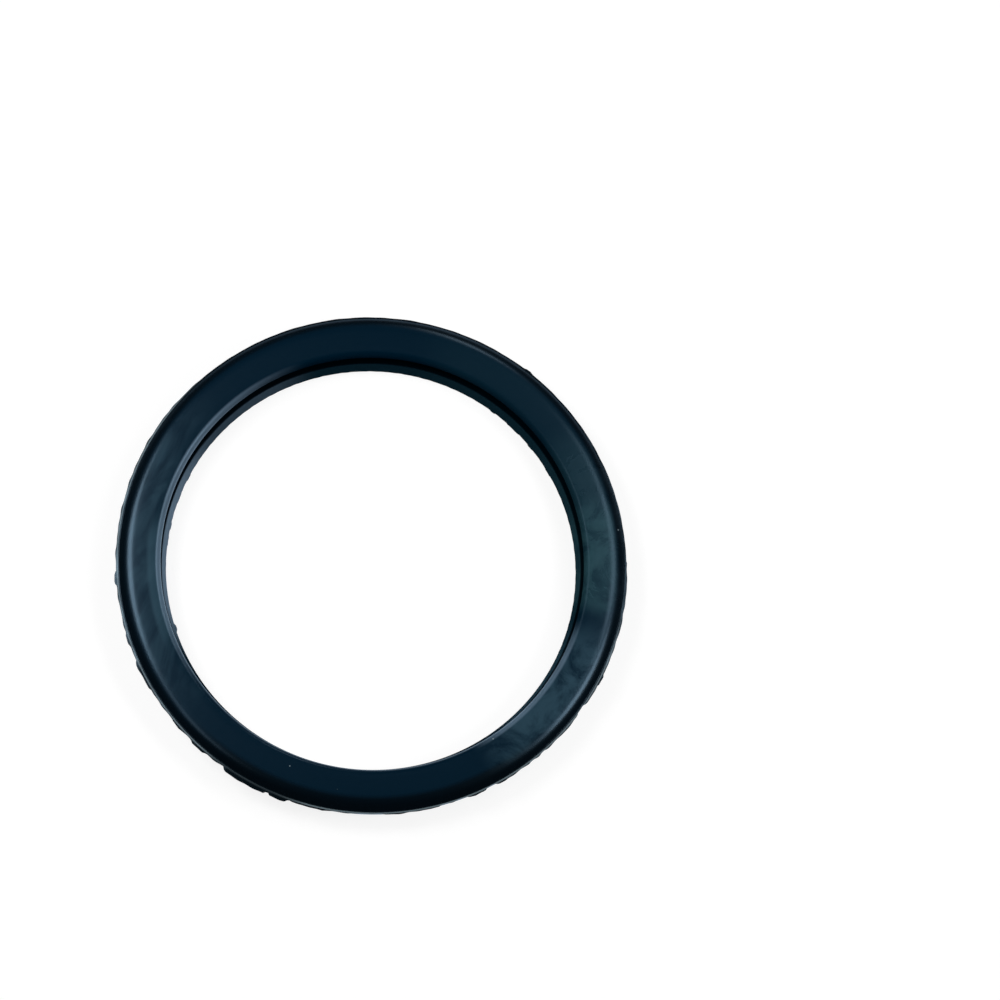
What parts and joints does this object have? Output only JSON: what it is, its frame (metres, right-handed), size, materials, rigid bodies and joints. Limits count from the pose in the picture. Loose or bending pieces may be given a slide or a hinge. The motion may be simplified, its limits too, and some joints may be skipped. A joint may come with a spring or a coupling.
{
  "type": "crankshaft oil seal",
  "caption": "One-piece moulded rubber oil seal ring with a flat back face, a lip for a shaft, an underside groove and a thin ragged moulding fin.",
  "frame": {"origin": "on the seal's axis, in the plane of the outer leg's foot, which it stands on", "axes": "+Z along the seal's axis, up out of the flat back face; the lip and the groove are on the -Z side"},
  "size_m": [0.1416, 0.1411, 0.011],
  "materials": {
    "rubber": "black moulded rubber, satin where it is smooth, with a cloudy grey bloom"
  },
  "bodies": {
    "root": {"seal_ring": "rubber"}
  },
  "joints": []
}
